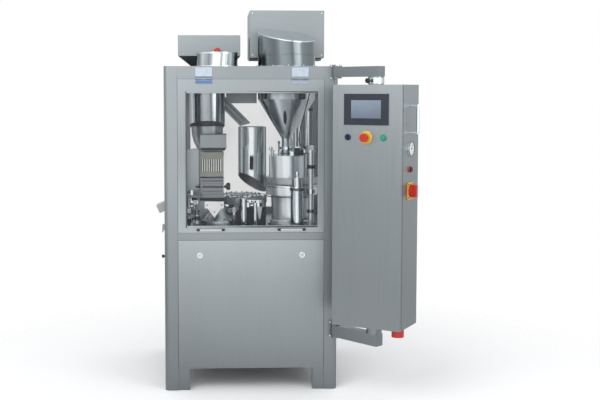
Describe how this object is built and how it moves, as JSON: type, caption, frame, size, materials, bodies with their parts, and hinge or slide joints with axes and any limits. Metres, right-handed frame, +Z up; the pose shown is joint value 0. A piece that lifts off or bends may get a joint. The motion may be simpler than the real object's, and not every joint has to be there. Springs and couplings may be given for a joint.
{
  "type": "capsule filler",
  "caption": "Automatic capsule filling machine: steel frame with a glazed dosing chamber, capsule and powder hoppers, and a control cabinet on swing arms.",
  "frame": {"origin": "centre of the overall footprint, on the floor", "axes": "+Z up, -Y towards the operator at the front door, +X to the operator's right"},
  "size_m": [1.2918, 1.2842, 1.965],
  "materials": {
    "brushed_steel": "vertical brushed grain, satin",
    "cabinet_steel": "fine brushed grain, satin",
    "polished_steel": "mirror polished",
    "machined_alloy": "fine machined, satin",
    "dark_iron": "dark oiled",
    "clear_pane": "clear acrylic sheet",
    "screen_plastic": "dark blue-grey moulded bezel",
    "gauge_steel": "polished gauge case",
    "black_plastic": "moulded black plastic",
    "red_plastic": "moulded red plastic",
    "yellow_plastic": "moulded yellow plastic",
    "green_plastic": "moulded green plastic"
  },
  "bodies": {
    "frame": {"post_front_left": "brushed_steel", "post_front_right": "brushed_steel", "post_rear_left": "brushed_steel", "post_rear_right": "brushed_steel", "top_deck": "brushed_steel", "table_plate": "brushed_steel", "left_side_panel": "brushed_steel", "left_window_pane": "clear_pane", "right_side_panel": "brushed_steel", "right_window_pane": "clear_pane", "rear_lower_panel": "brushed_steel", "arm_bracket_upper": "brushed_steel", "arm_bracket_lower": "brushed_steel", "capsule_bin": "cabinet_steel", "capsule_hopper": "polished_steel", "feed_tube": "polished_steel", "capsule_bowl": "polished_steel", "feed_column": "brushed_steel", "sorting_block": "machined_alloy", "transfer_channel": "polished_steel", "suction_tube": "polished_steel", "powder_hopper": "polished_steel", "feeder_housing": "cabinet_steel", "powder_drum": "polished_steel", "powder_ring": "polished_steel", "dosing_base": "polished_steel", "guide_post": "polished_steel", "cone_cover": "polished_steel", "discharge_chute": "polished_steel", "drive_base": "dark_iron", "sensor_lead": "black_plastic"},
    "front_door": {"front_door": "brushed_steel", "front_door_pane": "clear_pane", "door_handle_left": "polished_steel", "door_handle_right": "polished_steel"},
    "rear_door": {"rear_door": "brushed_steel", "rear_door_pane": "clear_pane"},
    "lower_front_panel": {"lower_front_panel": "brushed_steel"},
    "panel_lock_left": {"panel_lock_left": "polished_steel"},
    "panel_lock_right": {"panel_lock_right": "polished_steel"},
    "swing_arms": {"upper_arm": "brushed_steel", "lower_arm": "brushed_steel"},
    "control_cabinet": {"control_cabinet": "cabinet_steel", "screen_bezel": "screen_plastic", "cabinet_handle": "polished_steel", "pressure_gauge": "gauge_steel", "power_inlet": "red_plastic", "isolator_plate": "yellow_plastic"},
    "isolator_knob": {"isolator_knob": "red_plastic"},
    "estop_button": {"estop_button": "red_plastic"},
    "start_button": {"start_button": "green_plastic"},
    "key_switch": {"key_switch": "black_plastic"},
    "reset_button": {"reset_button": "black_plastic"},
    "turret": {"turret": "polished_steel"},
    "dosing_disc": {"dosing_disc": "machined_alloy"},
    "magazine": {"magazine": "machined_alloy"},
    "tamping_head": {"tamping_head": "polished_steel"},
    "hopper_lid": {"hopper_lid": "polished_steel", "lid_knob": "red_plastic"},
    "powder_lid": {"powder_lid": "polished_steel"}
  },
  "joints": [
    {"name": "front_door_hinge", "type": "hinge", "parent": "frame", "child": "front_door", "pos_m": [-0.15913, -0.23415, 1.591], "axis": [-1, 0, 0], "range_deg": [0, 85]},
    {"name": "rear_door_hinge", "type": "hinge", "parent": "frame", "child": "rear_door", "pos_m": [-0.15913, 0.63705, 1.591], "axis": [1, 0, 0], "range_deg": [0, 85]},
    {"name": "lower_panel_lift_off", "type": "slide", "parent": "frame", "child": "lower_front_panel", "axis": [0, -1, 0], "range_m": [0, 0.25]},
    {"name": "panel_lock_left_turn", "type": "hinge", "parent": "lower_front_panel", "child": "panel_lock_left", "pos_m": [-0.41913, -0.22855, 0.697], "axis": [0, 1, 0], "range_deg": [0, 90]},
    {"name": "panel_lock_right_turn", "type": "hinge", "parent": "lower_front_panel", "child": "panel_lock_right", "pos_m": [0.10087, -0.22855, 0.697], "axis": [0, 1, 0], "range_deg": [0, 90]},
    {"name": "arm_swing", "type": "hinge", "parent": "frame", "child": "swing_arms", "pos_m": [0.27087, -0.26255, 1], "axis": [0, 0, 1], "range_deg": [0, 55]},
    {"name": "cabinet_swivel", "type": "hinge", "parent": "swing_arms", "child": "control_cabinet", "pos_m": [0.43687, -0.45455, 1], "axis": [0, 0, 1], "range_deg": [-45, 90]},
    {"name": "estop_press", "type": "slide", "parent": "control_cabinet", "child": "estop_button", "axis": [0.515, 0.8572, 0], "range_m": [0, 0.004]},
    {"name": "start_press", "type": "slide", "parent": "control_cabinet", "child": "start_button", "axis": [0.515, 0.8572, 0], "range_m": [0, 0.003], "stiffness_N_per_m": 300},
    {"name": "key_turn", "type": "hinge", "parent": "control_cabinet", "child": "key_switch", "pos_m": [0.28934, -0.51173, 1.31], "axis": [0.515, 0.8572, 0], "range_deg": [0, 90]},
    {"name": "reset_press", "type": "slide", "parent": "control_cabinet", "child": "reset_button", "axis": [-0.8572, 0.515, 0], "range_m": [0, 0.0025], "stiffness_N_per_m": 300},
    {"name": "isolator_turn", "type": "hinge", "parent": "control_cabinet", "child": "isolator_knob", "pos_m": [0.59973, -0.5524, 1.055], "axis": [-0.8572, 0.515, 0], "range_deg": [0, 90]},
    {"name": "turret_spin", "type": "hinge", "parent": "frame", "child": "turret", "pos_m": [-0.20913, 0.19145, 0.924], "axis": [0, 0, 1], "continuous": true},
    {"name": "dosing_disc_spin", "type": "hinge", "parent": "frame", "child": "dosing_disc", "pos_m": [0.06687, 0.04145, 1.04], "axis": [0, 0, 1], "continuous": true},
    {"name": "magazine_lift", "type": "slide", "parent": "frame", "child": "magazine", "axis": [0, 0, 1], "range_m": [0, 0.008]},
    {"name": "tamping_stroke", "type": "slide", "parent": "frame", "child": "tamping_head", "axis": [0, 0, 1], "range_m": [0, 0.03]},
    {"name": "hopper_lid_lift", "type": "slide", "parent": "frame", "child": "hopper_lid", "axis": [0, 0, 1], "range_m": [0, 0.08]},
    {"name": "powder_lid_lift", "type": "slide", "parent": "frame", "child": "powder_lid", "axis": [0, 0, 1], "range_m": [0, 0.08]}
  ],
  "couplings": [
    {"joint": "dosing_disc_spin", "follows": "turret_spin", "ratio": -2}
  ]
}
